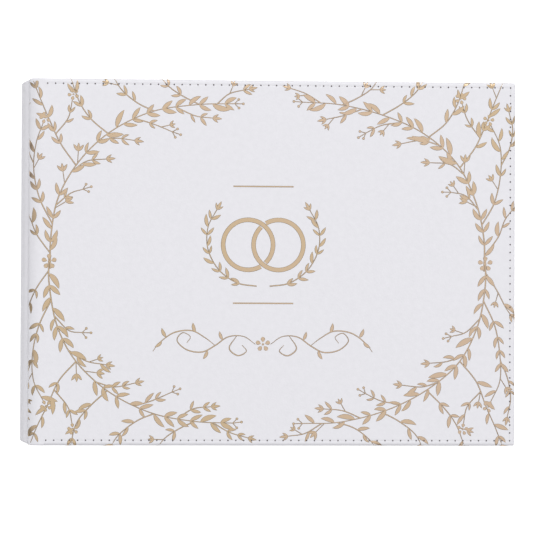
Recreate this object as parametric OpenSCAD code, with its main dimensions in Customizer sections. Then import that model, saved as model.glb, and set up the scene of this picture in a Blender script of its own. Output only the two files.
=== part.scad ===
/* [Book] */
// Width of the closed book, from the spine to the fore-edge
book_w = 228; // [200:1:260]
// Height of the book, from tail to head
book_h = 168; // [150:1:200]
// Thickness of the closed book
book_t = 18; // [17:0.5:20]

/* [Covers] */
// Thickness of the leather on the outside of the covers
leather_t = 0.7; // [0.6:0.05:0.9]
// Thickness of the foam pad under the leather
foam_t = 0.8; // [0.5:0.1:1]
// Thickness of the cover board
board_t = 1.8; // [1.5:0.1:2]
// Thickness of the pared leather turned in over the board's edges
turn_in_t = 0.35; // [0.25:0.05:0.5]
// Width of the leather turned in over the board's edges
turn_in_w = 15; // [10:1:20]
// Thickness of the paper pasted inside each cover
pastedown_t = 0.15; // [0.1:0.05:0.2]
// Distance from the cover's edges to the pasted paper
pastedown_inset = 3.5; // [3:0.5:6]
// Rounding of the cover's outer edges
outer_round = 1.6; // [1:0.1:1.8]
// Rounding of the cover's inner edges
inner_round = 0.5; // [0.3:0.1:0.7]
// Rounding of the cover's corners, seen from above
corner_round = 1.0; // [0.6:0.1:2]

/* [Stitching] */
// Distance from the cover's edge to the seam
seam_inset = 2.4; // [2:0.1:4]
// Width of the pressed seam channel
seam_w = 0.8; // [0.6:0.1:1]
// Depth of the pressed seam channel
seam_depth = 0.4; // [0.3:0.05:0.5]
// Distance from one stitch to the next, as a target
stitch_pitch = 3.65; // [3:0.05:5]
// Length of one stitch
stitch_len = 2.8; // [2:0.1:3]
// Radius of the seam thread
stitch_r = 0.18; // [0.1:0.01:0.2]

/* [Spine] */
// Thickness of the card inside the spine
spine_card_t = 0.9; // [0.6:0.1:1]
// Angle from straight up to the edge of the stiff spine
spine_start = 46; // [44:1:48]
// Length of the cut corner at the head and tail of the spine, across the book
headcap_x = 4.5; // [3:0.5:5]
// Length of the cut corner at the head and tail of the spine, along the spine
headcap_y = 1.8; // [1.5:0.1:3]
// Distance from the spine's ends to the ends of its card
card_inset = 3.5; // [3.2:0.1:5]

/* [Pages] */
// Distance from the cover's edges to the pages
square_w = 3.3; // [2:0.1:5]
// Thickness of one leaf of the signatures
leaf_t = 0.12; // [0.1:0.01:0.13]
// Thickness of the flyleaf at the front and the back
flyleaf_t = 0.2; // [0.15:0.05:0.2]
// Height of the space that each flyleaf lies in
flyleaf_slot = 0.4; // [0.4:0.1:0.6]
// Thickness of the mull and glue on the back of the pages
mull_t = 0.38; // [0.3:0.02:0.4]
// Distance from the mull's ends to the tapes of the head and tail bands
mull_end_gap = 0.7; // [0.3:0.1:6]
// Thickness of the sewing thread where it crosses the back
thread_t = 0.19; // [0.1:0.01:0.2]
// Width of the sewing thread where it crosses the back
thread_w = 0.5; // [0.3:0.1:0.6]
// Radius of the head band's and tail band's bead
bead_r = 0.7; // [0.5:0.1:0.8]
// Length of the band's tape that is glued over the back
band_tape_len = 11; // [8:1:11]

/* [Hidden] */
$fn = 96;

// How many signatures, sheets in each and loose front leaves there are
signatures = 8;
sheets = 4;
loose_leaves = 3;
// A play that keeps cutting shapes clear of the faces they cut
past = 1;

half_w = book_w / 2;
half_h = book_h / 2;
mid_z = book_t / 2;

// The covers, from the pages outward
cover_t = pastedown_t + turn_in_t + board_t + foam_t + leather_t;
inner_z = book_t - cover_t;
turn_in_z = inner_z + pastedown_t;
board_z = turn_in_z + turn_in_t;
foam_z = board_z + board_t;
leather_z = foam_z + foam_t;

// The spine is a half round as thick as the book
spine_r = mid_z;
spine_x = -half_w + spine_r;
card_r = spine_r - leather_t;
card_in_r = card_r - spine_card_t;
// The hollow back between the spine card and the mull
hollow_t = 0.4;
mull_out_r = card_in_r - hollow_t;
mull_in_r = mull_out_r - mull_t;
glue_gap = 0.02;
back_r = mull_in_r - glue_gap;
// The mull and bands end short of the shoulders
mull_start = 40;

// The pages, with a rounded back and a hollow fore-edge of the same radius
block_t = inner_z * 2 - book_t;
page_half_h = half_h - square_w;
pages_top_z = inner_z - flyleaf_slot;
signature_t = (block_t - 2 * flyleaf_slot) / signatures;
leaf_pitch = signature_t / (2 * sheets);
leaf_gap = leaf_pitch - leaf_t;
shoulder = sqrt(pow(back_r, 2) - pow(block_t / 2, 2));
fore_x = half_w - square_w + shoulder;

// The thread crosses the back at five stations, evenly spaced along the mull
mull_len = 2 * (page_half_h - band_tape_len - mull_end_gap);
stations = [for (i = [-2:2]) i * mull_len / 5];

// The covers and front leaves turn about the shoulders of the pages
hinge_x = spine_x - shoulder + 0.36;
// The opened cover stops this far from the spine
spine_clear = 0.6;
cover_x = 2 * hinge_x + half_w + spine_clear;
leaf_x = hinge_x + 0.1;
// Slit between the joint strip of the endpaper and its pasted half
endpaper_slit = 0.03;

// The seam runs from the hinge side along three edges
seam_x = cover_x + 0.5;
seam_right = half_w - seam_inset;
seam_y = half_h - seam_inset;

leather_color = "#ebeaef";
thread_color = "#f4f3f5";
paper_color = "#f7f4ec";
endpaper_color = "#f1eee6";

// Flat-sided block between two corners
module block(low, high) {
    translate(low) cube(high - low);
}

// Outline in the plane across the spine, drawn as x and z, made as long as y0 to y1
module along_spine(y0, y1) {
    translate([0, y1, 0]) rotate([90, 0, 0]) linear_extrude(y1 - y0) children();
}

// Rectangle whose two upper corners have one radius and its two lower ones another
module soft_rectangle(low, high, upper_r, lower_r) {
    translate([low[0], low[1] + lower_r]) square([high[0] - low[0], high[1] - low[1] - upper_r - lower_r]);
    translate([low[0] + upper_r, low[1] + lower_r])
        square([high[0] - low[0] - 2 * upper_r, high[1] - low[1] - lower_r]);
    translate([low[0] + lower_r, low[1]]) square([high[0] - low[0] - 2 * lower_r, 2 * lower_r]);
    for (x = [low[0] + upper_r, high[0] - upper_r]) translate([x, high[1] - upper_r]) circle(upper_r);
    for (x = [low[0] + lower_r, high[0] - lower_r]) translate([x, low[1] + lower_r]) circle(lower_r);
}

// Direction on the round spine, where 0 is straight up and 90 is straight out
function around(angle) = [-sin(angle), cos(angle)];

// Curved strip about the spine's centre, from one angle to another
module spine_arc(in_r, out_r, from, to, y0, y1) {
    reach = 4 * out_r;
    along_spine(y0, y1) translate([spine_x, mid_z]) difference() {
        intersection() {
            circle(out_r);
            polygon([[0, 0], reach * around(from), reach * around((from + to) / 2), reach * around(to)]);
        }
        circle(in_r);
    }
}

// Outline of the whole case from above, with the corners cut at the spine's ends
module case_outline() {
    cut_x = headcap_x - half_w;
    cut_y = half_h - headcap_y;
    translate([0, 0, -past]) linear_extrude(book_t + 2 * past)
        polygon([[cut_x, -half_h], [half_w, -half_h], [half_w, half_h], [cut_x, half_h],
            [-half_w, cut_y], [-half_w, -cut_y]]);
}

// Turns a front part over to the back of the book
module at_back() {
    translate([0, 0, book_t]) mirror([0, 0, 1]) children();
}

module cover_board() {
    side = leather_t;
    color("#b9a888") block([cover_x, side - half_h, board_z], [half_w - side, half_h - side, foam_z]);
}

module cover_foam() {
    side = leather_t;
    color("#f2efe4") block([cover_x, side - half_h, foam_z], [half_w - side, half_h - side, leather_z]);
}

// The hinge side of the cover is cut off square, so its soft outline starts further out
module cover_skin() {
    start_x = cover_x - 3 * corner_round;
    intersection() {
        along_spine(-half_h, half_h)
            soft_rectangle([start_x, turn_in_z], [half_w, book_t], outer_round, inner_round);
        translate([start_x, 0, 0]) rotate([90, 0, 90]) linear_extrude(half_w - start_x)
            soft_rectangle([-half_h, turn_in_z], [half_h, book_t], outer_round, inner_round);
        translate([0, 0, turn_in_z - past]) linear_extrude(book_t)
            soft_rectangle([start_x, -half_h], [half_w, half_h], corner_round, corner_round);
        block([cover_x, -book_h, 0], [book_w, book_h, 2 * book_t]);
    }
}

module seam_channel() {
    low_z = book_t - seam_depth;
    side = seam_w / 2;
    for (y = [-seam_y, seam_y])
        block([cover_x - past, y - side, low_z], [seam_right + side, y + side, book_t + past]);
    block([seam_right - side, -seam_y, low_z], [seam_right + side, seam_y, book_t + past]);
}

module cover_leather() {
    start_x = cover_x - past;
    side = leather_t;
    color(leather_color) difference() {
        cover_skin();
        block([start_x, side - half_h, board_z], [half_w - side, half_h - side, leather_z]);
        block([start_x, turn_in_w - half_h, 0], [half_w - turn_in_w, half_h - turn_in_w, board_z + past / 2]);
        seam_channel();
    }
}

// One straight row of stitches, laid out along x from the origin
module stitch_row(length) {
    count = round(length / stitch_pitch);
    pitch = length / count;
    for (i = [0:count - 1])
        translate([(i + 0.5) * pitch - stitch_len / 2, 0, 0]) rotate([0, 90, 0])
            cylinder(r = stitch_r, h = stitch_len);
}

module cover_stitching() {
    z = book_t - seam_depth + stitch_r;
    color(thread_color) {
        for (y = [-seam_y, seam_y]) translate([seam_x, y, z]) stitch_row(seam_right - seam_x);
        translate([seam_right, -seam_y, z]) rotate([0, 0, 90]) stitch_row(2 * seam_y);
    }
}

// The pasted paper steps down off the turned-in leather onto the board
module cover_pastedown() {
    side = pastedown_inset;
    color(endpaper_color) {
        block([cover_x, side - half_h, inner_z], [half_w - side, half_h - side, turn_in_z]);
        block([cover_x, turn_in_w - half_h, inner_z], [half_w - turn_in_w, half_h - turn_in_w, board_z]);
    }
}

module joint_leather() {
    color(leather_color) intersection() {
        union() {
            spine_arc(card_r, spine_r, 0, spine_start, -half_h, half_h);
            block([spine_x, -half_h, leather_z], [cover_x, half_h, book_t]);
        }
        case_outline();
    }
}

module endpaper_joint() {
    color(endpaper_color)
        block([leaf_x, pastedown_inset - half_h, inner_z],
            [cover_x - endpaper_slit, half_h - pastedown_inset, turn_in_z]);
}

// The leather covers the card's outside and closes over its ends
module spine_leather() {
    card_end = half_h - card_inset;
    color(leather_color) difference() {
        intersection() {
            spine_arc(card_in_r, spine_r, spine_start, 180 - spine_start, -half_h, half_h);
            case_outline();
        }
        spine_arc(card_in_r - past / 2, card_r, spine_start - 5, 185 - spine_start, -card_end, card_end);
    }
}

module spine_board() {
    card_end = half_h - card_inset;
    color("#c9bca0") spine_arc(card_in_r, card_r, spine_start, 180 - spine_start, -card_end, card_end);
}

module spine_mull() {
    channel = thread_w / 2 + 0.05;
    color("#e9e4d6") difference() {
        spine_arc(mull_in_r, mull_out_r, mull_start, 180 - mull_start, -mull_len / 2, mull_len / 2);
        for (y = stations)
            spine_arc(mull_in_r - past / 4, mull_in_r + thread_t + glue_gap, mull_start - 5,
                185 - mull_start, y - channel, y + channel);
    }
}

module sewing_thread() {
    out_r = mull_in_r + thread_t;
    color(thread_color) for (y = stations)
        spine_arc(mull_in_r, out_r, mull_start, 180 - mull_start, y - thread_w / 2, y + thread_w / 2);
}

// A round bead against the ends of the pages, sewn to a tape that is glued over their back
module head_band() {
    tape_t = 0.24;
    color("#f5f2ee") {
        spine_arc(mull_in_r, mull_in_r + tape_t, mull_start, 180 - mull_start,
            page_half_h - band_tape_len, page_half_h);
        translate([spine_x, page_half_h + bead_r, mid_z]) rotate([90, 0, 0]) rotate(90 + mull_start)
            rotate_extrude(angle = 180 - 2 * mull_start)
                translate([mull_in_r - bead_r / 2, 0]) circle(bead_r);
    }
}

module tail_band() {
    mirror([0, 1, 0]) head_band();
}

// Cuts the hollow fore-edge off an outline across the spine
module trimmed() {
    difference() {
        children();
        translate([fore_x, mid_z]) circle(back_r);
    }
}

// One sheet folded round the sheets inside it, as wide apart as its leaves
module folded_sheet(fold_x, fold_z, out_r) {
    difference() {
        stadium_end(fold_x, fold_z, out_r, fore_x);
        stadium_end(fold_x, fold_z, out_r - leaf_t, fore_x + past);
    }
}

module stadium_end(x, z, r, end_x) {
    translate([x, z]) circle(r);
    translate([x, z - r]) square([end_x - x, 2 * r]);
}

// The folds touch the round back, so each signature starts a little further in or out
module signature(number) {
    z = pages_top_z - (number - 0.5) * signature_t;
    fold_r = signature_t / 2 - leaf_gap / 2;
    fold_x = spine_x - sqrt(pow(back_r - fold_r, 2) - pow(z - mid_z, 2));
    loose_z = pages_top_z - loose_leaves * leaf_pitch;
    color(paper_color) for (sheet = [0:sheets - 1]) along_spine(-page_half_h, page_half_h) difference() {
        trimmed() folded_sheet(fold_x, z, fold_r - sheet * leaf_pitch);
        if (number == 1) translate([hinge_x, loose_z]) square([book_w, loose_leaves * leaf_pitch + past]);
    }
}

// One flat leaf with its own body, from its fold to the fore-edge
module flat_leaf(low_z, thick) {
    along_spine(-page_half_h, page_half_h) trimmed()
        translate([leaf_x, low_z]) square([fore_x - leaf_x, thick]);
}

module leaf(number) {
    color(paper_color) flat_leaf(pages_top_z - number * leaf_pitch + leaf_gap / 2, leaf_t);
}

module flyleaf() {
    color(endpaper_color) flat_leaf(inner_z - flyleaf_slot / 2 - flyleaf_t / 2, flyleaf_t);
}

cover_board();  // front_board
cover_foam();  // front_foam
cover_leather();  // front_leather
cover_stitching();  // front_stitching
cover_pastedown();  // front_pastedown
at_back() cover_board();  // back_board
at_back() cover_foam();  // back_foam
at_back() cover_leather();  // back_leather
at_back() cover_stitching();  // back_stitching
at_back() cover_pastedown();  // back_pastedown
joint_leather();  // front_joint_leather
at_back() joint_leather();  // back_joint_leather
endpaper_joint();  // front_endpaper_joint
at_back() endpaper_joint();  // back_endpaper_joint
spine_leather();
spine_board();
spine_mull();
sewing_thread();
head_band();
tail_band();
signature(1);  // signature_1
signature(2);  // signature_2
signature(3);  // signature_3
signature(4);  // signature_4
signature(5);  // signature_5
signature(6);  // signature_6
signature(7);  // signature_7
signature(8);  // signature_8
flyleaf();  // front_flyleaf
leaf(1);  // leaf_1
leaf(2);  // leaf_2
leaf(3);  // leaf_3
at_back() flyleaf();  // back_flyleaf
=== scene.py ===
"""A white leather wedding guest book with a gold foil border, sewn covers and pages that open.

The book lies closed on its back cover: x runs from the spine to the fore-edge, y from the tail
to the head, z from the back cover to the front. Each section is one group of its pieces."""
import math
import random

import bmesh
import bpy
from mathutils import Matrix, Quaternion, Vector


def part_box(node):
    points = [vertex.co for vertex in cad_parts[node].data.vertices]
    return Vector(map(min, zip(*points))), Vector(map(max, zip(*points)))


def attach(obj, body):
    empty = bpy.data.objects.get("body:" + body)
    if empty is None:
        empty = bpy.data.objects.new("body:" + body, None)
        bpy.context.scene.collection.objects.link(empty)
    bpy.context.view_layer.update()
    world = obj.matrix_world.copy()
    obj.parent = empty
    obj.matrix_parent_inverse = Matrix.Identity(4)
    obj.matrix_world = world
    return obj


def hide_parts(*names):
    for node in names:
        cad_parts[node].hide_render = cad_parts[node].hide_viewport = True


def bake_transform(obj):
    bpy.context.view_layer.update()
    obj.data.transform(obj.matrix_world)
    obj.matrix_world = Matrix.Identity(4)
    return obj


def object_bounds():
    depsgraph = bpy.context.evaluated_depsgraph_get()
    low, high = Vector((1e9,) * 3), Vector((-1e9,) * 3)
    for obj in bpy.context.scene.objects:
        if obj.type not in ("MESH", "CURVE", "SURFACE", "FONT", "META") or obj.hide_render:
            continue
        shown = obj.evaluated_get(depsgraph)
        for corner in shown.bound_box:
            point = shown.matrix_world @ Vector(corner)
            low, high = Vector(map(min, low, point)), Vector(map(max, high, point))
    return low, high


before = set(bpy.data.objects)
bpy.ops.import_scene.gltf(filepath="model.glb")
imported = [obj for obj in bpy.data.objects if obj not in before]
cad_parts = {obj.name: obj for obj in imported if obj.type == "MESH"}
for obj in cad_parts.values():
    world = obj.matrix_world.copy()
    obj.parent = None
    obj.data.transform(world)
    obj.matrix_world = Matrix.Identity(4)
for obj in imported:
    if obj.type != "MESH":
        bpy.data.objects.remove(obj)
cad_low, cad_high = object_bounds()

# ---------------------------------------------------------------------------------------------
# The case: one sheet of white faux leather, glued over two boards and a spine card. It is turned
# in over their edges, rolls round the spine, and bends along the two joints beside the spine.
# It is drawn as three skins that meet at the creases where the stiff spine ends.
mm = 0.001
half_w = cad_high.x / mm
half_h = cad_high.y / mm
thick = cad_high.z / mm
mid_z = thick / 2
spine_r = mid_z
spine_x = -half_w + spine_r
cover_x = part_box("front_leather")[0].x / mm
cover_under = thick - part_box("front_leather")[0].z / mm
spine_under = 1.6
turn_in = 15.0
edge_round = 1.4
corner_round = 1.0
headcap_x = 4.5
headcap_y = 1.8
# The stiff spine spans this much of the round, each way from straight out
crease_angle = math.radians(46)
crease_u = spine_x - spine_r * crease_angle
groove_u = crease_u + 0.35
groove_depth = 0.58
groove_outer, groove_inner = 0.85, 1.6
spine_mid_u = spine_x - spine_r * math.pi / 2
seam_inset = 2.4
seam_half_w = 0.65
seam_sunk = 0.08


def colour(code):
    """Linear colour of an sRGB hex value."""
    parts = [int(code[i:i + 2], 16) / 255 for i in (1, 3, 5)]
    return [c / 12.92 if c <= 0.04045 else ((c + 0.055) / 1.055) ** 2.4 for c in parts] + [1]


def add(tree, kind, inputs=None, **settings):
    """A node with its settings; inputs gives sockets their values or the sockets they link from."""
    made = tree.nodes.new("ShaderNode" + kind)
    for name, value in settings.items():
        setattr(made, name, value)
    for name, value in (inputs or {}).items():
        if isinstance(value, bpy.types.NodeSocket):
            tree.links.new(value, made.inputs[name])
        else:
            made.inputs[name].default_value = value
    return made


def finish_of(name, **values):
    """A material with one Principled shader, its node tree, the shader and the object's position."""
    made = bpy.data.materials.new(name)
    made.use_nodes = True
    tree = made.node_tree
    shader = tree.nodes["Principled BSDF"]
    for socket, value in values.items():
        shader.inputs[socket.replace("_", " ")].default_value = value
    place = add(tree, "TexCoord").outputs["Object"]
    return made, tree, shader, place


def smooth_step(t):
    t = min(1.0, max(0.0, t))
    return t * t * (3 - 2 * t)


def piece(name, points, faces, finishes, kinds=None, sharp=35):
    """A mesh from points in millimetres; kinds gives the number of each face's finish."""
    mesh = bpy.data.meshes.new(name)
    mesh.from_pydata([Vector(p) * mm for p in points], [], faces)
    for finish in finishes:
        mesh.materials.append(finish)
    if kinds:
        mesh.polygons.foreach_set("material_index", kinds)
    work = bmesh.new()
    work.from_mesh(mesh)
    bmesh.ops.remove_doubles(work, verts=work.verts, dist=1e-7)
    slivers = [face for face in work.faces if face.calc_area() < 1e-10]
    bmesh.ops.delete(work, geom=slivers, context="FACES")
    work.to_mesh(mesh)
    work.free()
    mesh.shade_smooth()
    mesh.set_sharp_from_angle(angle=math.radians(sharp))
    made = bpy.data.objects.new(name, mesh)
    bpy.context.scene.collection.objects.link(made)
    return made


def grid(points, faces, rows):
    """Adds rows of points, each of one length, and the faces between them."""
    first, across = len(points), len(rows[0])
    for row in rows:
        points.extend(row)
    for r in range(len(rows) - 1):
        for c in range(across - 1):
            at = first + r * across + c
            faces.append((at, at + across, at + across + 1, at + 1))


def round_spine(u, deep):
    """x and z of the place that is u along the leather and deep under its face."""
    if u < cover_x and deep < 1:
        past = max(u, 2 * spine_mid_u - u) - groove_u
        deep += groove_depth * math.exp(-(past / (groove_outer if past > 0 else groove_inner)) ** 2)
    if u >= spine_x:
        return u, thick - deep
    angle = (spine_x - u) / spine_r
    return spine_x - (spine_r - deep) * math.sin(angle), mid_z + (spine_r - deep) * math.cos(angle)


def edge_y(u):
    """Half the case's height at u: the headcaps are drawn in at the spine."""
    x = round_spine(u, 0)[0]
    inside = max(0.0, headcap_x - half_w - x)
    return half_h - inside * headcap_y / headcap_x


def under_at(u):
    """How far the turned-in leather lies under the face: over the board, or in the joint."""
    return spine_under + (cover_under - spine_under) * smooth_step((u - cover_x + 0.6) / 0.6)


def edge_profile(under):
    """(inset from the edge, depth under the face) from the face round the edge to the turn-in."""
    outer = min(edge_round, 0.44 * under)
    inner = min(0.5, 0.2 * under)
    rows = [(seam_inset - seam_half_w, 0), ((seam_inset - seam_half_w + outer) / 2, 0)]
    for step in range(7):
        a = math.radians(15 * step)
        rows.append((outer * (1 - math.sin(a)), outer * (1 - math.cos(a))))
    for step in range(4):
        a = math.radians(30 * step)
        rows.append((inner * (1 - math.cos(a)), under - inner * (1 - math.sin(a))))
    return rows + [(2.5, under), (8, under), (turn_in - 0.4, under), (turn_in, under - 0.3)]


def seam_depth(inset):
    """Depth of the channel that the seam's thread pulls into the padded leather."""
    away = min(1.0, abs(inset - seam_inset) / seam_half_w)
    return seam_sunk * 0.5 * (1 + math.cos(math.pi * away))


def cover_place(column, inset, deep):
    """The point of the cover at a column of its rim, inset from its edge and deep under its face."""
    kind, value = column
    square = max(inset, corner_round)
    if kind in ("tail", "head"):
        u = min(value, half_w - square) if value > 0 else value
        y = inset - edge_y(value)
        x, z = round_spine(u, deep)
        return x, y if kind == "tail" else -y, z
    if kind == "fore":
        y = min(max(value, square - half_h), half_h - square)
        return half_w - inset, y, thick - deep
    out = max(0.0, corner_round - inset)
    x, y = half_w - square + out * math.sin(abs(value)), half_h - square + out * math.cos(value)
    return x, math.copysign(y, value), thick - deep


def spread(first, last, step):
    """Evenly spaced values from first to last, about step apart."""
    count = max(1, round(abs(last - first) / step))
    return [first + (last - first) * i / count for i in range(count + 1)]


bend_us = spread(crease_u, groove_u + 1.7, 0.2)
bend_us += spread(groove_u + 2, cover_x - 0.6, 0.45) + spread(cover_x - 0.45, cover_x, 0.15)
bend_us = sorted(set(round(u, 4) for u in bend_us))


def rim_columns(step):
    """Columns round the cover: along the tail, round a corner, up the fore-edge and back."""
    run = bend_us + spread(cover_x + 1, half_w - corner_round, step)
    turn = [math.radians(a) for a in (75, 60, 45, 30, 15)]
    tail = [("tail", u) for u in run]
    head = [("head", u) for u in reversed(run)]
    side = [("fore", y) for y in spread(corner_round - half_h, half_h - corner_round, step)]
    low = [("corner", -math.radians(90) + a) for a in reversed(turn)]
    high = [("corner", math.radians(90) - a) for a in reversed(turn)]
    return tail + [("corner", -(math.pi / 2 - a)) for a in turn] + side + high + head


def cover_skin():
    """The cover's leather with its joint: the rim turned in, the seam's channel and the panel."""
    points, faces = [], []
    columns = rim_columns(4)
    profiles = []
    for column in columns:
        under = under_at(column[1]) if column[0] in ("tail", "head") else cover_under
        profiles.append(edge_profile(under))
    rows = [[cover_place(c, *p[r]) for c, p in zip(columns, profiles)] for r in range(len(profiles[0]))]
    grid(points, faces, rows)
    channel = spread(seam_inset + seam_half_w, seam_inset - seam_half_w, 0.16)
    rows = []
    for inset in channel:
        sunk = seam_depth(inset)
        row = []
        for kind, value in columns:
            starts = smooth_step((value - cover_x) / 2) if kind in ("tail", "head") else 1
            row.append(cover_place((kind, value), inset, sunk * starts))
        rows.append(row)
    grid(points, faces, rows)
    inner = seam_inset + seam_half_w
    rows = []
    for across in spread(1, -1, 0.125):
        row = []
        for u in bend_us + spread(cover_x + 1, half_w - inner, 6):
            x, z = round_spine(u, 0)
            row.append((x, across * (edge_y(u) - inner), z))
        rows.append(row)
    grid(points, faces, rows)
    return points, faces


def spine_skin():
    """The leather over the stiff spine, with its two headcaps."""
    points, faces = [], []
    us = spread(crease_u, 2 * spine_mid_u - crease_u, 0.45)
    profile = edge_profile(spine_under)
    for side in (1, -1):
        rows = []
        for inset, deep in profile:
            rows.append([(round_spine(u, deep)[0], side * (edge_y(u) - inset), round_spine(u, deep)[1])
                         for u in us])
        grid(points, faces, rows if side == 1 else rows[::-1])
    inner = seam_inset - seam_half_w
    rows = []
    for across in spread(1, -1, 0.1):
        rows.append([(round_spine(u, 0)[0], across * (edge_y(u) - inner), round_spine(u, 0)[1]) for u in us])
    grid(points, faces, rows[::-1])
    return points, faces


def turned_over(points, faces):
    """The same shape at the back of the book."""
    return [(x, y, thick - z) for x, y, z in points], [tuple(reversed(f)) for f in faces]


# PVC-coated faux leather, embossed with a fine pebble grain: satin, cool white, faintly mottled
white_leather, tree, shader, place = finish_of("white_faux_leather", Roughness=0.5)
mottle = add(tree, "TexNoise", {"Vector": place, "Scale": 1 / (2.5 * mm), "Detail": 6.0, "Roughness": 0.6})
tint = add(tree, "ValToRGB", {"Fac": mottle.outputs["Fac"]})
tint.color_ramp.elements[0].position = 0.3
tint.color_ramp.elements[0].color = colour("#e7e6eb")
tint.color_ramp.elements[1].position = 0.7
tint.color_ramp.elements[1].color = colour("#ebeaef")
tree.links.new(tint.outputs["Color"], shader.inputs["Base Color"])
pebble_size = 0.9 * mm
pebbles = add(tree, "TexVoronoi", {"Vector": place, "Scale": 1 / pebble_size}, feature="SMOOTH_F1")
pores = add(tree, "TexNoise", {"Vector": place, "Scale": 1 / (0.35 * mm), "Detail": 2.0})
grain = add(tree, "Math", {0: pores.outputs["Fac"], 1: 0.6, 2: pebbles.outputs["Distance"]},
            operation="MULTIPLY_ADD")
relief = add(tree, "Bump", {"Height": grain.outputs[0], "Distance": 0.05 * mm, "Strength": 0.6})
tree.links.new(relief.outputs["Normal"], shader.inputs["Normal"])


def joined(made):
    """Bakes a piece's placement into its mesh."""
    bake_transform(made)


skin_points, skin_faces = cover_skin()
front_skin = piece("front_leather_skin", skin_points, skin_faces, [white_leather])
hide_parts("front_leather", "front_joint_leather")
joined(front_skin)

back_skin = piece("back_leather_skin", *turned_over(skin_points, skin_faces), [white_leather])
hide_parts("back_leather", "back_joint_leather")
joined(back_skin)

spine = piece("spine_leather_skin", *spine_skin(), [white_leather])
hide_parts("spine_leather")
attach(spine, "text_block")

# ---------------------------------------------------------------------------------------------
# The seam: white polyester thread, sewn by machine along three edges of each cover. Each stitch
# lies in the channel and dives into a needle hole at both ends, where a dark disc paints the hole's shade.
pitch_target = 3.65
thread_r = 0.2
hole_r = 0.34
hole_lift = 0.12
seam_start = cover_x + 0.5
seam_right = half_w - seam_inset
seam_y = half_h - seam_inset


def seam_run(first, last):
    """The needle holes along one straight side, from first to last."""
    length = math.dist(first, last)
    count = round(length / pitch_target)
    return [tuple(a + (b - a) * i / count for a, b in zip(first, last)) for i in range(count + 1)]


corners = [(seam_start, -seam_y), (seam_right, -seam_y), (seam_right, seam_y), (seam_start, seam_y)]
runs = [seam_run(a, b) for a, b in zip(corners, corners[1:])]
thread_points, thread_faces = [], []
hole_points, hole_faces = [], []
sides = 8
for run in runs:
    for (ax, ay), (bx, by) in zip(run, run[1:]):
        length = math.hypot(bx - ax, by - ay)
        dx, dy = (bx - ax) / length, (by - ay) / length
        rings = []
        for step in range(9):
            t = step / 8
            along = length * (0.04 + 0.92 * t)
            dive = 0.45 * (2 * abs(t - 0.5)) ** 4
            z = thick - thread_r - 0.01 - dive
            ring = []
            for side in range(sides + 1):
                a = 2 * math.pi * side / sides
                out, up = thread_r * math.cos(a), thread_r * math.sin(a)
                ring.append((ax + dx * along - dy * out, ay + dy * along + dx * out, z + up))
            rings.append(ring)
        grid(thread_points, thread_faces, rings)
    for x, y in run:
        first = len(hole_points)
        for side in range(10):
            a = 2 * math.pi * side / 10
            hole_points.append((x + hole_r * math.cos(a), y + hole_r * math.sin(a), thick + hole_lift))
        hole_faces.append(tuple(range(first, first + 10)))

# Twisted polyester: matte, with a soft sheen along the plies
thread_ply, tree, shader, place = finish_of("white_polyester_thread", Roughness=0.7, Sheen_Weight=0.3)
plies = add(tree, "TexWave", {"Vector": place, "Scale": 1 / (0.9 * mm), "Distortion": 1.5},
            bands_direction="DIAGONAL")
# Painted shade: the grooves between the plies are darker, where the bump makes them lower
tint = add(tree, "ValToRGB", {"Fac": plies.outputs["Fac"]})
tint.color_ramp.elements[0].color = colour("#d9d8dc")
tint.color_ramp.elements[1].color = colour("#f0eff2")
tree.links.new(tint.outputs["Color"], shader.inputs["Base Color"])
relief = add(tree, "Bump", {"Height": plies.outputs["Fac"], "Distance": 0.04 * mm})
tree.links.new(relief.outputs["Normal"], shader.inputs["Normal"])

# Painted shade: a grey-brown disc over each needle hole stands for the shade inside it
painted_hole_shade, tree, shader, place = finish_of("painted_needle_hole_shade", Roughness=0.95)
shade = add(tree, "TexNoise", {"Vector": place, "Scale": 1 / (6 * mm)})
tint = add(tree, "ValToRGB", {"Fac": shade.outputs["Fac"]})
tint.color_ramp.elements[0].color = colour("#4a4044")
tint.color_ramp.elements[1].color = colour("#6b6266")
tree.links.new(tint.outputs["Color"], shader.inputs["Base Color"])

for side, cover in (("front", "front_cover"), ("back", "back_cover")):
    shape = (thread_points, thread_faces)
    holes = (hole_points, hole_faces)
    if side == "back":
        shape = turned_over(*shape)
        holes = turned_over([(x, y, z - hole_lift + 0.001) for x, y, z in hole_points], hole_faces)
    made = piece(side + "_seam_thread", *shape, [thread_ply])
    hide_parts(side + "_stitching")
    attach(made, cover)
    made = piece(side + "_needle_holes", *holes, [painted_hole_shade])
    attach(made, cover)

# ---------------------------------------------------------------------------------------------
# The foil: satin gold, hot-stamped on the leather before it was glued to the boards, so it runs
# over the edges and into the joint as far as the crease. Laurel garlands, berries and blossoms
# frame an oval, and two linked rings between laurel sprays stand in the middle.
foil_points, foil_faces, foil_kinds = [], [], []
foil_limit_u = groove_u + 1
foil_wrap = math.pi / 2 * edge_round + 1.1
foil_low, foil_lift, foil_stagger = 0.01, 0.06, 0.05
foil_bevel = 0.14
layer = 0


def wrap(value, half):
    """(place across, drop, tilt) of a value that rolls over the rounded edge at half."""
    over = abs(value) - (half - edge_round)
    if over <= 0:
        return value, 0.0, 0.0
    over = min(over, foil_wrap)
    tilt = min(over / edge_round, math.pi / 2)
    drop = edge_round * (1 - math.cos(tilt)) + max(0.0, over - edge_round * math.pi / 2)
    return math.copysign(half - edge_round + edge_round * math.sin(tilt), value), drop, tilt


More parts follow.
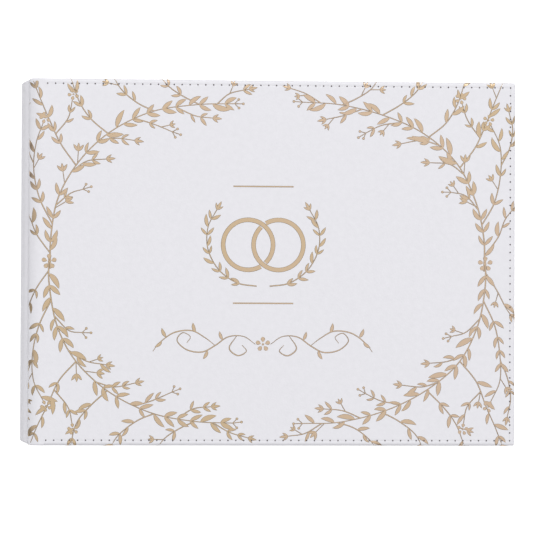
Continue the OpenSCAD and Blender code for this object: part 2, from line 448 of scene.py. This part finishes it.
def on_leather(u, v, lift):
    """The point u, v of the leather as it was stamped flat, lifted off its face."""
    u = max(u, foil_limit_u)
    y, drop_y, tilt_y = wrap(v, half_h if u > cover_x else half_h - 0.3)
    side = math.copysign(1, v)
    if u < spine_x:
        x, z = round_spine(u, -lift * math.cos(tilt_y))
        return x, y + side * lift * math.sin(tilt_y), z - drop_y
    x, drop_x, tilt_x = wrap(u, half_w)
    inset = min(half_w - x, half_h - abs(y))
    sunk = seam_depth(inset) * smooth_step((u - cover_x) / 2) if inset > seam_inset - seam_half_w else 0
    up = lift * math.cos(tilt_x) * math.cos(tilt_y)
    z = thick - drop_x - drop_y - sunk + up
    return x + lift * math.sin(tilt_x), y + side * lift * math.sin(tilt_y), z


def stamp(rows):
    """Adds rows of (u, v, on the flat or not) to the foil, without what lies past its limits."""
    global layer
    layer += 1
    # Shapes that cross lie a few micrometres apart, as overlapping foil does
    flat = foil_lift + foil_stagger * (layer * 0.618 % 1)
    faces = []
    first = len(foil_points)
    grid(foil_points, faces, [[on_leather(u, v, flat if on_flat else foil_low) for u, v, on_flat in row]
                              for row in rows])
    places = [place for row in rows for place in row]
    for face in faces:
        around = [places[i - first] for i in face]
        if any(foil_limit_u < u < half_w - edge_round + foil_wrap
               and abs(v) < half_h - edge_round + foil_wrap for u, v, on_flat in around):
            foil_faces.append(face)
            # Faces on the bevel round each shape take the second finish, whose darker colour is painted
            # shade
            foil_kinds.append(0 if all(on_flat for u, v, on_flat in around) else 1)


def ribbon(line, widths):
    """A foil shape along a line of (u, v), as wide as widths says at each point."""
    rows = []
    for i, (u, v) in enumerate(line):
        before, after = line[max(0, i - 1)], line[min(len(line) - 1, i + 1)]
        du, dv = after[0] - before[0], after[1] - before[1]
        length = math.hypot(du, dv) or 1
        half = widths[i] / 2
        flat = max(half - foil_bevel, 0.4 * half)
        rows.append([(u - dv / length * out, v + du / length * out, abs(out) < half)
                     for out in (-half, -flat, 0, flat, half)])
    stamp(rows)


def curve(knots, step=1.2):
    """A smooth line through a few knots (Catmull-Rom), with points about step apart."""
    ends = [[2 * a - b for a, b in zip(knots[0], knots[1])],
            [2 * a - b for a, b in zip(knots[-1], knots[-2])]]
    full = [ends[0]] + list(knots) + [ends[1]]
    line = []
    for p, a, b, q in zip(full, full[1:], full[2:], full[3:]):
        count = max(2, round(math.dist(a, b) / step))
        for i in range(count):
            t = i / count
            line.append(tuple(
                0.5 * (2 * a[k] + (b[k] - p[k]) * t + (2 * p[k] - 5 * a[k] + 4 * b[k] - q[k]) * t * t
                       + (3 * a[k] - p[k] - 3 * b[k] + q[k]) * t ** 3) for k in (0, 1)))
    return line + [tuple(knots[-1])]


def stem(line, thick_end=0.7, thin_end=0.4):
    last = len(line) - 1
    ribbon(line, [thick_end + (thin_end - thick_end) * i / last for i in range(last + 1)])


def leaf(u, v, heading, length, width, sway=0.0):
    """An almond-shaped leaf, growing from (u, v); sway curls it to one side."""
    line, widths = [], []
    steps = 8
    for i in range(steps + 1):
        t = i / steps
        a = heading + sway * (t - 0.3)
        line.append((u + length * t * math.cos(a), v + length * t * math.sin(a)))
        widths.append(width * math.sin(math.pi * t ** 0.9) ** 0.8 if 0 < i < steps else 0.04)
    ribbon(line, widths)


def disc(u, v, radius):
    """A round berry."""
    turns = [2 * math.pi * i / 12 for i in range(13)]
    stamp([[(u + reach * math.cos(a), v + reach * math.sin(a), reach < radius) for a in turns]
           for reach in (radius, radius - foil_bevel, 0.02)])


def berries(u, v, heading, luck, size=0.62):
    """Three berries on short stalks."""
    for turn, reach in ((-0.75, 2.4), (0.05, 3.6), (0.8, 2.3)):
        a = heading + turn + luck.uniform(-0.12, 0.12)
        end = (u + reach * math.cos(a), v + reach * math.sin(a))
        ribbon([(u, v), ((u + end[0]) / 2, (v + end[1]) / 2), end], [0.42, 0.4, 0.4])
        disc(end[0] + size * 0.7 * math.cos(a), end[1] + size * 0.7 * math.sin(a), size)


def blossom(u, v, radius, turn):
    """Five rounded petals about a small open centre."""
    for i in range(5):
        a = turn + 2 * math.pi * i / 5
        start = (u + radius * 0.3 * math.cos(a), v + radius * 0.3 * math.sin(a))
        line, widths = [], []
        for k in range(7):
            t = k / 6
            reach = radius * 0.75 * t
            line.append((start[0] + reach * math.cos(a), start[1] + reach * math.sin(a)))
            widths.append(radius * 0.6 * math.sin(math.pi * min(1, t ** 1.4)) ** 0.6 if 0 < k < 6 else 0.05)
        ribbon(line, widths)
    disc(u, v, radius * 0.16)


def twig(knots, luck, size=1.0, tip="leaf", bare=0.1, gap=6.4):
    """A stem with small leaves, in pairs or one at a time, and a short sprig here and there."""
    line = curve(knots)
    stem(line, 0.42 + 0.25 * size, 0.4)
    reach = [0.0]
    for a, b in zip(line, line[1:]):
        reach.append(reach[-1] + math.dist(a, b))
    total, side = reach[-1], luck.choice((-1, 1))
    at = total * bare + luck.uniform(0, 2)
    while at < total - 3:
        i = next(k for k, r in enumerate(reach) if r >= at)
        (pu, pv), (nu, nv) = line[max(0, i - 1)], line[min(len(line) - 1, i + 1)]
        heading = math.atan2(nv - pv, nu - pu)
        kind = luck.random()
        lean = luck.uniform(0.55, 0.85)
        if kind < 0.45:
            for way in (-1, 1):
                long = luck.uniform(4.6, 6.4) * size
                leaf(*line[i], heading + way * lean * luck.uniform(0.85, 1.15), long,
                     long * luck.uniform(0.29, 0.34), -way * luck.uniform(0, 0.4))
        elif kind < 0.9:
            long = luck.uniform(5.4, 8.6) * size
            leaf(*line[i], heading + side * lean, long, long * luck.uniform(0.27, 0.31),
                 -side * luck.uniform(0, 0.5))
            side = -side
        else:
            out = heading + side * lean
            end = (line[i][0] + 5 * size * math.cos(out), line[i][1] + 5 * size * math.sin(out))
            stem([line[i], ((line[i][0] + end[0]) / 2, (line[i][1] + end[1]) / 2), end], 0.42, 0.4)
            for turn in (-0.65, 0, 0.65):
                leaf(*end, out + turn, 3.6 * size, 1.25 * size)
            side = -side
        at += gap * luck.uniform(0.8, 1.15) * (0.75 if 0.45 <= kind < 0.9 else 1)
    (pu, pv), (nu, nv) = line[-3], line[-1]
    heading = math.atan2(nv - pv, nu - pu)
    if tip == "berries":
        berries(nu, nv, heading, luck)
    elif tip == "blossom":
        blossom(nu + 2.4 * math.cos(heading), nv + 2.4 * math.sin(heading), 2.6, heading + math.pi / 5)
    else:
        for turn, long in ((-0.6, 4.2), (0, 5.6), (0.6, 4.2)):
            leaf(nu, nv, heading + turn, long * size, long * size * 0.31)
    return line


def quarter(across, up, luck):
    """One quarter of the border, drawn for the fore-edge and head and mirrored to the others."""
    drawn = []

    def grow(size, tip, bare, *knots):
        """Draws a twig that starts on the nearest stem drawn before it."""
        knots = [(across * (u + luck.uniform(-0.6, 0.6)) + (-1.2 if across < 0 else 0),
                  up * (v + luck.uniform(-0.6, 0.6))) for u, v in knots]
        if drawn:
            knots[0] = min(drawn, key=lambda place: math.dist(place, knots[0]))
        drawn.extend(twig(knots, luck, size, tip, bare))

    grow(1.1, "berries", 0.05, (100, -3), (99.5, 11), (96, 29), (87, 46), (72, 59.5), (53, 68.5),
         (33, 73), (15, 73.5))
    grow(0.95, "blossom", 0.2, (98.6, 17), (104.5, 29), (107, 42), (106.5, 54), (102.5, 64))
    grow(0.95, "leaf", 0.25, (88, 45), (95.5, 54), (100, 65), (104.5, 75), (108.5, 84))
    grow(0.95, "leaf", 0.25, (73, 59), (81, 65.5), (87, 74), (90.5, 85))
    grow(0.9, "leaf", 0.3, (52, 69), (60, 73), (67.5, 79), (72, 87))
    grow(0.85, "leaf", 0.3, (100, 4), (106, 12), (110, 21), (116.5, 29))
    grow(0.85, "berries", 0.3, (32, 73), (40, 76.5), (47, 81.5), (52, 89))
    grow(0.8, "berries", 0.3, (97, 25), (91, 31), (84.5, 33))
    grow(0.8, "leaf", 0.25, (90, 41), (83, 45.5), (74, 46.5))
    grow(0.8, "leaf", 0.25, (78, 55), (70, 57), (61, 55.5))
    grow(0.8, "berries", 0.25, (61, 65), (52, 63.5), (44, 60))
    grow(0.8, "leaf", 0.3, (42, 71.5), (33.5, 67.5), (25.5, 66.5))
    grow(0.75, "blossom", 0.3, (97, 59), (91.5, 66), (89.5, 74))
    grow(0.75, "leaf", 0.3, (107, 45), (111, 53), (112.5, 62), (111, 70))
    grow(0.75, "leaf", 0.3, (24, 73.4), (17, 78), (9, 80))


for number, (across, up) in enumerate(((1, 1), (-1, 1), (-1, -1), (1, -1))):
    quarter(across, up, random.Random(31 + number))
for across in (1, -1):
    blossom(across * 100 - (1.2 if across < 0 else 0), 0, 3.4, math.radians(90))

# The middle: a rule above and below two linked rings between sprays, and a scroll underneath
centre_u = -3.0
rule_w = 27.8
for v in (35.05, -18.65):
    ribbon([(centre_u - rule_w / 2, v), (centre_u, v), (centre_u + rule_w / 2, v)], [0.65] * 3)


def ring_arc(u, v, radius, width, first, last):
    """Part of a ring, from one angle to another in degrees."""
    angles = [math.radians(a) for a in spread(first, last, 6)]
    ribbon([(u + radius * math.cos(a), v + radius * math.sin(a)) for a in angles], [width] * len(angles))


ring_v, ring_apart, ring_r, ring_band = 8.2, 7.0, 11.5, 2.1
gap = 7
cross = math.degrees(math.acos(ring_apart / ring_r))
ring_arc(centre_u - ring_apart, ring_v, ring_r, ring_band, -cross + gap, 360 - cross - gap)
ring_arc(centre_u + ring_apart, ring_v, ring_r, ring_band, 180 - cross + gap, 540 - cross - gap)
for across in (1, -1):
    luck = random.Random(7)
    knots = [(3, -19), (12, -17.5), (20.5, -11.5), (25.5, -2), (25.5, 8), (21.5, 16)]
    twig([(centre_u + across * u, ring_v + v) for u, v in knots], luck, 0.8, "leaf", 0.12, 5.2)


def scroll(knots, width=0.62):
    """A curl of foil, widest half way along."""
    line = curve(knots, 0.8)
    last = len(line) - 1
    ribbon(line, [width * (0.45 + 0.55 * math.sin(math.pi * i / last)) for i in range(last + 1)])


scroll_v = -37.5
for across in (1, -1):
    def s(*knots):
        return [(centre_u + across * u, scroll_v + v) for u, v in knots]
    scroll(s((3.5, 0), (9, 3.6), (16, 3.4), (22, -0.6), (28, -3.6), (35, -2.6), (39.5, 1.6), (37, 5.2),
             (33.4, 3.4), (35, 0.6)))
    scroll(s((22, -0.6), (27, 3.2), (33, 6.2), (41, 5.2), (47.5, 0.6), (50.6, -3.4)))
    scroll(s((12, 4.0), (15.5, -1.8), (11.5, -5.2), (7.6, -3.2), (9.6, -0.4)))
    for u, v, a, size in ((44.5, 3.2, 0.9, 4.6), (46.5, 1.2, -0.9, 4.2), (31, 5.4, 1.1, 4.6),
                          (25.5, -2.9, -1.3, 4.4), (18.5, 2.0, 1.0, 4.2)):
        heading = a if across > 0 else math.pi - a
        leaf(centre_u + across * u, scroll_v + v, heading, size, size * 0.36, 0.3 * across)
blossom(centre_u, scroll_v, 3.3, math.radians(90))

# Hot-stamped foil: a metallised film, satin because it takes up the leather's grain
gold_foil, tree, shader, place = finish_of("satin_gold_foil", Metallic=1.0, Roughness=0.34)
# Painted reflection: a broad mottle tints the foil a little olive in places and peach in others
painted_light_mottle = add(tree, "TexNoise", {"Vector": place, "Scale": 1 / (70 * mm), "Detail": 3.0})
tint = add(tree, "ValToRGB", {"Fac": painted_light_mottle.outputs["Fac"]})
tint.color_ramp.elements[0].position = 0.38
tint.color_ramp.elements[0].color = colour("#c1ab8d")
tint.color_ramp.elements[1].position = 0.62
tint.color_ramp.elements[1].color = colour("#c4ad96")
tree.links.new(tint.outputs["Color"], shader.inputs["Base Color"])
pebbles = add(tree, "TexVoronoi", {"Vector": place, "Scale": 1 / pebble_size}, feature="SMOOTH_F1")
relief = add(tree, "Bump", {"Height": pebbles.outputs["Distance"], "Distance": 0.04 * mm, "Strength": 0.5})
tree.links.new(relief.outputs["Normal"], shader.inputs["Normal"])

# Round each shape the die's edge has drawn the film thin and pressed it in, so it is rougher there; its
# darker colour is painted shade
foil_edge_painted_shade, tree, shader, place = finish_of("gold_foil_edge_painted_shade", Metallic=1.0, Roughness=0.5)
painted_light_mottle = add(tree, "TexNoise", {"Vector": place, "Scale": 1 / (4 * mm), "Detail": 4.0})
tint = add(tree, "ValToRGB", {"Fac": painted_light_mottle.outputs["Fac"]})
tint.color_ramp.elements[0].color = colour("#6f5f4d")
tint.color_ramp.elements[1].color = colour("#96836c")
tree.links.new(tint.outputs["Color"], shader.inputs["Base Color"])
foil = piece("gold_foil_stamping", foil_points, foil_faces, [gold_foil, foil_edge_painted_shade], foil_kinds, sharp=15)
joined(foil)

# ---------------------------------------------------------------------------------------------
# The boards, the pads and the spine's linings, which the leather and the paper hide.
grey_board, tree, shader, place = finish_of("grey_binders_board", Roughness=0.9)
fibres = add(tree, "TexNoise", {"Vector": place, "Scale": 1 / (1.5 * mm), "Detail": 6.0})
tint = add(tree, "ValToRGB", {"Fac": fibres.outputs["Fac"]})
tint.color_ramp.elements[0].color = colour("#8f8268")
tint.color_ramp.elements[1].color = colour("#c9bda0")
tree.links.new(tint.outputs["Color"], shader.inputs["Base Color"])
relief = add(tree, "Bump", {"Height": fibres.outputs["Fac"], "Distance": 0.08 * mm})
tree.links.new(relief.outputs["Normal"], shader.inputs["Normal"])

open_foam, tree, shader, place = finish_of("open_cell_foam", Roughness=1.0)
cells = add(tree, "TexVoronoi", {"Vector": place, "Scale": 1 / (0.7 * mm)})
# Painted shade: the hollows of the cells are darker, where the bump makes them lower
tint = add(tree, "ValToRGB", {"Fac": cells.outputs["Distance"]})
tint.color_ramp.elements[0].color = colour("#cfc9b4")
tint.color_ramp.elements[1].color = colour("#f4f0e2")
tree.links.new(tint.outputs["Color"], shader.inputs["Base Color"])
relief = add(tree, "Bump", {"Height": cells.outputs["Distance"], "Distance": 0.2 * mm})
tree.links.new(relief.outputs["Normal"], shader.inputs["Normal"])

# Starched cotton gauze: an open plain weave, with a thread every millimetre
gauze, tree, shader, place = finish_of("starched_cotton_gauze", Roughness=0.95)
warp = add(tree, "TexWave", {"Vector": place, "Scale": 1 / (6.3 * mm)}, bands_direction="Y")
weft = add(tree, "TexWave", {"Vector": place, "Scale": 1 / (6.3 * mm)}, bands_direction="Z")
weave = add(tree, "Math", {0: warp.outputs["Fac"], 1: weft.outputs["Fac"]}, operation="MAXIMUM")
tint = add(tree, "ValToRGB", {"Fac": weave.outputs[0]})
tint.color_ramp.elements[0].color = colour("#cfc6b0")
tint.color_ramp.elements[1].color = colour("#f1ecdf")
tree.links.new(tint.outputs["Color"], shader.inputs["Base Color"])
relief = add(tree, "Bump", {"Height": weave.outputs[0], "Distance": 0.1 * mm})
tree.links.new(relief.outputs["Normal"], shader.inputs["Normal"])


def refinish(node, finish):
    """Gives a construction node its finish."""
    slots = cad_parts[node].data.materials
    slots.clear()
    slots.append(finish)


for node in ("front_board", "back_board", "spine_board"):
    refinish(node, grey_board)
refinish("spine_mull", gauze)
refinish("sewing_thread", thread_ply)


def rounded_slab(name, node, radius, finish):
    """A flat pad with rounded long edges, as large as its construction node."""
    low, high = (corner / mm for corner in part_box(node))
    points, faces = [], []
    mid = (low + high) / 2
    rows = []
    for step in range(9):
        a = math.pi * (step / 8 - 0.5)
        pull = radius * (1 - math.cos(a))
        z = mid.z + (high.z - low.z) / 2 * math.sin(a)
        row = []
        for across, up in ((-1, -1), (1, -1), (1, 1), (-1, 1), (-1, -1)):
            row.append((mid.x + across * ((high.x - low.x) / 2 - pull),
                        mid.y + up * ((high.y - low.y) / 2 - pull), z))
        rows.append(row)
    grid(points, faces, rows[::-1])
    for row, order in ((rows[0], -1), (rows[-1], 1)):
        first = len(points)
        points.extend(row[:4])
        faces.append(tuple(range(first, first + 4))[::order])
    return piece(name, points, faces, [finish])


for side in ("front", "back"):
    pad = rounded_slab(side + "_foam_pad", side + "_foam", 0.4, open_foam)
    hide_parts(side + "_foam")
    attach(pad, side + "_cover")

# ---------------------------------------------------------------------------------------------
# The endpapers: smooth ivory cartridge paper. One half of each sheet is pasted inside a cover,
# where the turned-in leather shows through as a low step, and the other half is the flyleaf.
paste_low, paste_high = (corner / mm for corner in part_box("front_pastedown"))
strip_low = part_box("front_endpaper_joint")[0] / mm
paste_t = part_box("front_endpaper_joint")[1].z / mm - paste_low.z

cartridge, tree, shader, place = finish_of("ivory_cartridge_paper", Roughness=0.85)
pulp = add(tree, "TexNoise", {"Vector": place, "Scale": 1 / (2.2 * mm), "Detail": 8.0, "Roughness": 0.7})
tint = add(tree, "ValToRGB", {"Fac": pulp.outputs["Fac"]})
tint.color_ramp.elements[0].color = colour("#ece8de")
tint.color_ramp.elements[1].color = colour("#f6f3ea")
tree.links.new(tint.outputs["Color"], shader.inputs["Base Color"])
relief = add(tree, "Bump", {"Height": pulp.outputs["Fac"], "Distance": 0.03 * mm, "Strength": 0.5})
tree.links.new(relief.outputs["Normal"], shader.inputs["Normal"])

step_x = half_w - turn_in
step_y = half_h - turn_in
sunk = 0.12


def pasted_sheet(name, finish):
    """The pasted half and its joint strip, let down where the turned-in leather ends."""
    xs = spread(strip_low.x, cover_x + 1, 0.35) + spread(cover_x + 6, step_x - 1, 12)
    xs += spread(step_x - 0.6, step_x + 0.6, 0.3) + spread(step_x + 3, paste_high.x, 3)
    half = paste_high.y
    ys = spread(0, step_y - 1, 12) + spread(step_y - 0.6, step_y + 0.6, 0.3) + spread(step_y + 3, half, 3)
    ys = [-y for y in reversed(ys[1:])] + ys

    def let_down(x, y):
        inside = smooth_step((step_x + 0.5 - x) / 1) * smooth_step((step_y + 0.5 - abs(y)) / 1)
        return sunk * inside * smooth_step((x - cover_x + 1) / 2)
    points, faces = [], []
    face = [[(x, y, paste_low.z + let_down(x, y)) for x in xs] for y in ys]
    inner = [[(x, y, paste_low.z + paste_t + let_down(x, y)) for x in xs] for y in ys]
    grid(points, faces, face)
    grid(points, faces, inner[::-1])
    rim = [(x, ys[0]) for x in xs] + [(xs[-1], y) for y in ys] + [(x, ys[-1]) for x in reversed(xs)]
    rim += [(xs[0], y) for y in reversed(ys)]
    grid(points, faces, [[(x, y, paste_low.z + let_down(x, y) + up) for x, y in rim] for up in (paste_t, 0)])
    return points, faces


sheet = pasted_sheet("endpaper", cartridge)
for side in ("front", "back"):
    shape = sheet if side == "front" else turned_over(*sheet)
    made = piece(side + "_pasted_endpaper", *shape, [cartridge])
    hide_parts(side + "_pastedown", side + "_endpaper_joint")
    joined(made)

# ---------------------------------------------------------------------------------------------
# The pages: 64 leaves of uncoated ivory paper in eight sewn signatures. The four front leaves
# that turn are drawn as flat sheets.
def page_finish(name, edges):
    """Uncoated paper; edges paints lines of shade between the leaves on the sides of a signature."""
    made, tree, shader, place = finish_of(name, Roughness=0.9)
    pulp = add(tree, "TexNoise", {"Vector": place, "Scale": 1 / (3 * mm), "Detail": 9.0, "Roughness": 0.65})
    tint = add(tree, "ValToRGB", {"Fac": pulp.outputs["Fac"]})
    tint.color_ramp.elements[0].color = colour("#f0ece2")
    tint.color_ramp.elements[1].color = colour("#faf7f0")
    tree.links.new(tint.outputs["Color"], shader.inputs["Base Color"])
    if edges:
        # The lines of painted shade between the leaves are drawn twice as far apart as the leaves are thick,
        # or they wouldn't show
        gaps = add(tree, "TexWave", {"Vector": place, "Scale": 0.314 / (0.42 * mm), "Distortion": 1.2},
                   bands_direction="Z")
        facing = add(tree, "SeparateXYZ", {0: add(tree, "TexCoord").outputs["Normal"]})
        level = add(tree, "Math", {0: facing.outputs["Z"]}, operation="ABSOLUTE")
        upright = add(tree, "Math", {0: 1.0, 1: level.outputs[0]}, operation="SUBTRACT")
        dark = add(tree, "Math", {0: gaps.outputs["Fac"], 1: upright.outputs[0]}, operation="MULTIPLY")
        shade = add(tree, "MixRGB", {"Fac": dark.outputs[0], "Color1": tint.outputs["Color"],
                                     "Color2": colour("#d9d4c9")})
        tree.links.new(shade.outputs["Color"], shader.inputs["Base Color"])
    tooth = add(tree, "TexNoise", {"Vector": place, "Scale": 1 / (0.3 * mm), "Detail": 3.0})
    relief = add(tree, "Bump", {"Height": tooth.outputs["Fac"], "Distance": 0.02 * mm, "Strength": 0.5})
    tree.links.new(relief.outputs["Normal"], shader.inputs["Normal"])
    return made


page_paper = page_finish("uncoated_ivory_paper", False)
signature_paper = page_finish("uncoated_ivory_paper_edges", True)
for number in range(1, 9):
    refinish(f"signature_{number}", signature_paper)


def paper_sheet(name, node, finish):
    """A sheet of paper as large as its node, with columns close together near its spine edge."""
    low, high = (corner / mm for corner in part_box(node))
    xs = spread(low.x, low.x + 20, 0.7) + spread(low.x + 25, high.x, 9)
    ys = spread(low.y, high.y, 9)
    points, faces = [], []
    grid(points, faces, [[(x, y, high.z) for x in xs] for y in reversed(ys)])
    grid(points, faces, [[(x, y, low.z) for x in xs] for y in ys])
    rim = [(x, ys[0]) for x in xs] + [(xs[-1], y) for y in ys] + [(x, ys[-1]) for x in reversed(xs)]
    rim += [(xs[0], y) for y in reversed(ys)]
    grid(points, faces, [[(x, y, z) for x, y in rim] for z in (high.z, low.z)])
    return piece(name, points, faces, [finish])


for node, finish, slot in (("front_flyleaf", cartridge, "endpaper"), ("leaf_1", page_paper, "page_paper"),
                           ("leaf_2", page_paper, "page_paper"), ("leaf_3", page_paper, "page_paper")):
    made = paper_sheet(node + "_sheet", node, finish)
    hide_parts(node)
    joined(made)
made = paper_sheet("back_flyleaf_sheet", "back_flyleaf", cartridge)
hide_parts("back_flyleaf")
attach(made, "text_block")

# ---------------------------------------------------------------------------------------------
# The head and tail bands: silk wound over a cord, in white with a gold stripe, on a cloth tape.
silk_white, tree, shader, place = finish_of("white_silk_winding", Roughness=0.55, Sheen_Weight=0.4)
strands = add(tree, "TexNoise", {"Vector": place, "Scale": 1 / (0.4 * mm), "Detail": 3.0})
tint = add(tree, "ValToRGB", {"Fac": strands.outputs["Fac"]})
tint.color_ramp.elements[0].color = colour("#dedad2")
tint.color_ramp.elements[1].color = colour("#f4f1ea")
tree.links.new(tint.outputs["Color"], shader.inputs["Base Color"])

silk_gold, tree, shader, place = finish_of("gold_silk_winding", Roughness=0.45, Sheen_Weight=0.4)
strands = add(tree, "TexNoise", {"Vector": place, "Scale": 1 / (0.4 * mm), "Detail": 3.0})
tint = add(tree, "ValToRGB", {"Fac": strands.outputs["Fac"]})
tint.color_ramp.elements[0].color = colour("#b3925f")
tint.color_ramp.elements[1].color = colour("#d8bd8d")
tree.links.new(tint.outputs["Color"], shader.inputs["Base Color"])

band_start = math.radians(40)
page_half_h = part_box("signature_2")[1].y / mm
mull_r = 6.62
bead_r = 0.66
bead_at = mull_r - 0.35
tape_r = mull_r + 0.24


def wound_band(name, side):
    """A cord wound with thread: each turn is a ridge, and every fourth pair of turns is gold."""
    points, faces, kinds = [], [], []
    turns = 27
    rings = []
    for step in range(turns * 4 + 1):
        t = step / (turns * 4)
        around = band_start + (math.pi - 2 * band_start) * t
        radius = bead_r - 0.07 * abs(math.cos(math.pi * turns * t))
        ring = []
        for k in range(13):
            a = 2 * math.pi * k / 12
            out = bead_at + radius * math.cos(a)
            y = side * (page_half_h + 0.7 + radius * math.sin(a))
            ring.append((spine_x - out * math.sin(around), y, mid_z + out * math.cos(around)))
        rings.append(ring)
    grid(points, faces, rings if side > 0 else rings[::-1])
    for r in range(len(rings) - 1):
        turn = (r if side > 0 else len(rings) - 2 - r) // 4
        kinds += [1 if turn % 8 in (3, 4) else 0] * 12
    tape = []
    for y in (page_half_h - 11, page_half_h):
        tape.append([(spine_x - tape_r * math.sin(a), side * y, mid_z + tape_r * math.cos(a))
                     for a in spread(band_start, math.pi - band_start, 0.12)])
    before = len(faces)
    grid(points, faces, tape)
    kinds += [2] * (len(faces) - before)
    return piece(name, points, faces, [silk_white, silk_gold, gauze], kinds)


for name, side in (("head_band", 1), ("tail_band", -1)):
    made = wound_band(name + "_winding", side)
    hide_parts(name)
    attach(made, "text_block")

# ---------------------------------------------------------------------------------------------
# The studio: a white floor, a sky that is bright overhead and dim at the horizon, one soft lamp,
# and a camera almost straight above, a little towards the tail and the spine.
floor_mesh = bpy.data.meshes.new("floor")
reach = 3.0
floor_mesh.from_pydata([(-reach, -reach, 0), (reach, -reach, 0), (reach, reach, 0), (-reach, reach, 0)], [],
                       [(0, 1, 2, 3)])
floor = bpy.data.objects.new("floor", floor_mesh)
bpy.context.scene.collection.objects.link(floor)
sweep = bpy.data.materials.new("white_paper_sweep")
sweep.use_nodes = True
tree = sweep.node_tree
tree.nodes.clear()
paper = add(tree, "BsdfDiffuse", {"Color": colour("#f4f4f4")})
glow = add(tree, "Emission", {"Color": (1, 1, 1, 1), "Strength": 0.6})
path = add(tree, "LightPath")
seen = add(tree, "Math", {0: path.outputs["Is Camera Ray"], 1: path.outputs["Is Glossy Ray"]},
           operation="MAXIMUM")
seen = add(tree, "Math", {0: seen.outputs[0], 1: path.outputs["Is Transmission Ray"]}, operation="MAXIMUM")
lit = add(tree, "AddShader", {0: paper.outputs[0], 1: glow.outputs[0]})
mix = add(tree, "MixShader", {0: seen.outputs[0], 1: paper.outputs[0], 2: lit.outputs[0]})
add(tree, "OutputMaterial", {"Surface": mix.outputs[0]})
floor_mesh.materials.append(sweep)

# The overhead sky leans towards the head and the fore-edge, so the round of the spine shades off
world = bpy.data.worlds.new("studio")
bpy.context.scene.world = world
world.use_nodes = True
tree = world.node_tree
tree.nodes.clear()
ray = add(tree, "TexCoord").outputs["Generated"]
height = add(tree, "VectorMath", {0: ray, 1: Vector((0.07, 0.15, 0.98)).normalized()},
             operation="DOT_PRODUCT")
sky = add(tree, "ValToRGB", {"Fac": height.outputs["Value"]})
sky.color_ramp.elements[0].position = 0.14
sky.color_ramp.elements[0].color = (0.13, 0.13, 0.135, 1)
sky.color_ramp.elements[1].position = 0.9
sky.color_ramp.elements[1].color = (1, 1, 1, 1)
glow = add(tree, "Background", {"Color": sky.outputs["Color"], "Strength": 1.1})
add(tree, "OutputWorld", {"Surface": glow.outputs[0]})

lamp_data = bpy.data.lights.new("soft_box", "AREA")
lamp_data.shape = "SQUARE"
lamp_data.size = 1.4
lamp_data.energy = 15.5
lamp = bpy.data.objects.new("soft_box", lamp_data)
lamp.location = (0.3, 1.5, 1.9)
lamp.rotation_euler = (-lamp.location).to_track_quat("-Z", "Y").to_euler()
bpy.context.scene.collection.objects.link(lamp)

camera_data = bpy.data.cameras.new("camera")
camera_data.lens = 219.1
camera_data.sensor_width = 36
camera_data.clip_end = 20
camera = bpy.data.objects.new("camera", camera_data)
camera.rotation_mode = "QUATERNION"
to_spine = Quaternion((0, 1, 0), math.radians(-4.9))
to_tail = Quaternion((1, 0, 0), math.radians(1.1))
roll = Quaternion((0, 0, 1), math.radians(0.238))
camera.rotation_quaternion = to_spine @ to_tail @ roll
camera.location = Vector((-0.72, -1.55, 9)) * mm + camera.rotation_quaternion @ Vector((0, 0, 1.5))
bpy.context.scene.collection.objects.link(camera)
bpy.context.scene.camera = camera
bpy.context.scene.view_settings.view_transform = "Standard"
